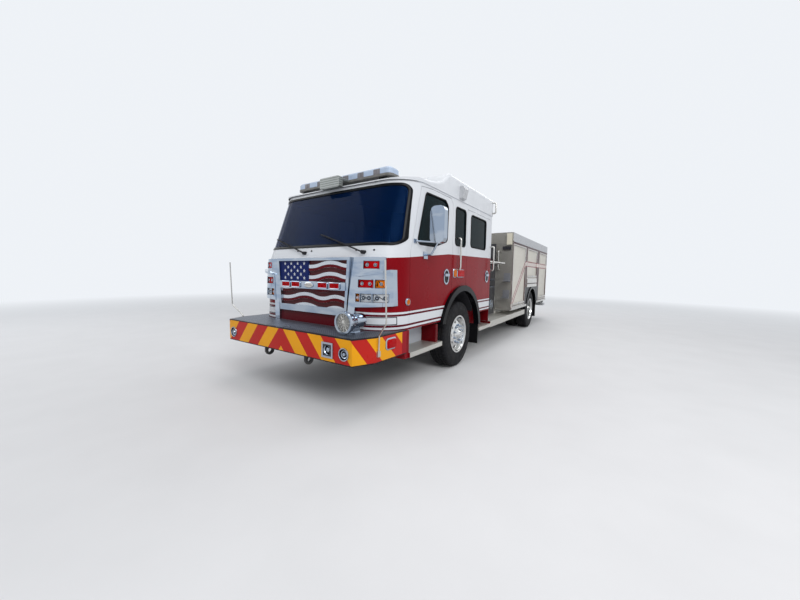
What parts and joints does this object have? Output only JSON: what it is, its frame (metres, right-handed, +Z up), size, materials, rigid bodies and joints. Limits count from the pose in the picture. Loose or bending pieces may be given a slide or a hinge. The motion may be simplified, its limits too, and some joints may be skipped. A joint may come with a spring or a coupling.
{
  "type": "fire engine",
  "caption": "Fire engine with a four-door cab, side-mount pump, hose bed and roller-shutter lockers; wheels roll and steer, doors and the bumper's hose-well lid open.",
  "frame": {"origin": "on the ground under the middle of the vehicle's length and width", "axes": "+X to the vehicle's left, +Y to its rear, +Z up"},
  "size_m": [3.016, 10.168, 2.952],
  "materials": {
    "black_steel": "satin black chassis paint",
    "engine_iron": "grey engine paint",
    "red_paint": "gloss fire red over white upper, with white stripes",
    "white_paint": "gloss white",
    "treadplate": "bright treadplate",
    "chrome": "polished",
    "stainless": "brushed stainless",
    "rubber_mat": "ribbed floor covering",
    "tinted_glass": "dark tint",
    "black_plastic": "grained",
    "seat_fabric": "heavy woven seat cover",
    "red_lens": "ribbed lamp lens",
    "clear_lens": "clear lamp lens over white base",
    "black_rubber": "smooth black",
    "black_panel": "black coated panel",
    "satin_aluminium": "satin slats",
    "tank_plastic": "welded sheet",
    "polished_aluminium": "polished",
    "tyre_rubber": "road tyre"
  },
  "bodies": {
    "chassis": {"frame_rails": "black_steel", "crossmembers": "black_steel", "front_axle": "black_steel", "rear_axle": "black_steel", "leaf_springs": "black_steel", "engine_block": "engine_iron", "bumper": "red_paint", "bumper_deck": "treadplate", "siren": "chrome", "bumper_horns": "chrome", "corner_guides": "stainless", "cab_front": "red_paint", "cab_sides": "red_paint", "cab_rear_wall": "red_paint", "cab_roof": "white_paint", "cab_floor": "rubber_mat", "cab_glass": "tinted_glass", "dashboard": "black_plastic", "seats": "seat_fabric", "grille": "chrome", "grille_slats": "white_paint", "fuel_tank": "satin_aluminium", "exhaust": "stainless", "lamp_clusters": "chrome", "lamp_lenses": "red_lens", "lightbar": "clear_lens", "wipers": "black_plastic", "fender_flares": "black_rubber", "mud_flaps": "black_rubber", "side_steps": "treadplate", "pump_module": "black_panel", "pump_fittings": "chrome", "body_shell": "stainless", "wheel_housings": "black_rubber", "shutters": "satin_aluminium", "water_tank": "tank_plastic", "rear_step": "treadplate", "grab_rails": "stainless"},
    "hose_well_lid": {"hose_well_lid": "treadplate"},
    "door_front_left": {"door_front_left": "red_paint", "glass_front_left": "tinted_glass", "mirror_left": "chrome"},
    "door_rear_left": {"door_rear_left": "red_paint", "glass_rear_left": "tinted_glass"},
    "knuckle_left": {"knuckle_left": "black_steel"},
    "wheel_front_left": {"wheel_front_left": "polished_aluminium", "tyre_front_left": "tyre_rubber"},
    "wheel_rear_left": {"wheels_rear_left": "polished_aluminium", "tyres_rear_left": "tyre_rubber"},
    "door_front_right": {"door_front_right": "red_paint", "glass_front_right": "tinted_glass", "mirror_right": "chrome"},
    "door_rear_right": {"door_rear_right": "red_paint", "glass_rear_right": "tinted_glass"},
    "knuckle_right": {"knuckle_right": "black_steel"},
    "wheel_front_right": {"wheel_front_right": "polished_aluminium", "tyre_front_right": "tyre_rubber"},
    "wheel_rear_right": {"wheels_rear_right": "polished_aluminium", "tyres_rear_right": "tyre_rubber"}
  },
  "joints": [
    {"name": "door_front_left_hinge", "type": "hinge", "parent": "chassis", "child": "door_front_left", "pos_m": [1.222, -4.145, 1.7], "axis": [0, 0, -1], "range_deg": [0, 80]},
    {"name": "door_rear_left_hinge", "type": "hinge", "parent": "chassis", "child": "door_rear_left", "pos_m": [1.222, -2.403, 1.7], "axis": [0, 0, -1], "range_deg": [0, 80]},
    {"name": "steer_left", "type": "hinge", "parent": "chassis", "child": "knuckle_left", "pos_m": [0.93, -2.55, 0.535], "axis": [0, 0, 1], "range_deg": [-38, 38]},
    {"name": "wheel_front_left_spin", "type": "hinge", "parent": "knuckle_left", "child": "wheel_front_left", "pos_m": [1.033, -2.55, 0.535], "axis": [1, 0, 0], "continuous": true},
    {"name": "wheel_rear_left_spin", "type": "hinge", "parent": "chassis", "child": "wheel_rear_left", "pos_m": [1.082, 2.54, 0.535], "axis": [1, 0, 0], "continuous": true},
    {"name": "door_front_right_hinge", "type": "hinge", "parent": "chassis", "child": "door_front_right", "pos_m": [-1.222, -4.145, 1.7], "axis": [0, 0, 1], "range_deg": [0, 80]},
    {"name": "door_rear_right_hinge", "type": "hinge", "parent": "chassis", "child": "door_rear_right", "pos_m": [-1.222, -2.403, 1.7], "axis": [0, 0, 1], "range_deg": [0, 80]},
    {"name": "steer_right", "type": "hinge", "parent": "chassis", "child": "knuckle_right", "pos_m": [-0.93, -2.55, 0.535], "axis": [0, 0, 1], "range_deg": [-38, 38]},
    {"name": "wheel_front_right_spin", "type": "hinge", "parent": "knuckle_right", "child": "wheel_front_right", "pos_m": [-1.033, -2.55, 0.535], "axis": [1, 0, 0], "continuous": true},
    {"name": "wheel_rear_right_spin", "type": "hinge", "parent": "chassis", "child": "wheel_rear_right", "pos_m": [-1.082, 2.54, 0.535], "axis": [1, 0, 0], "continuous": true},
    {"name": "hose_well_lid_hinge", "type": "hinge", "parent": "chassis", "child": "hose_well_lid", "pos_m": [0, -4.677, 0.843], "axis": [-1, 0, 0], "range_deg": [0, 85]}
  ],
  "couplings": [
    {"joint": "steer_right", "follows": "steer_left", "ratio": 1}
  ]
}
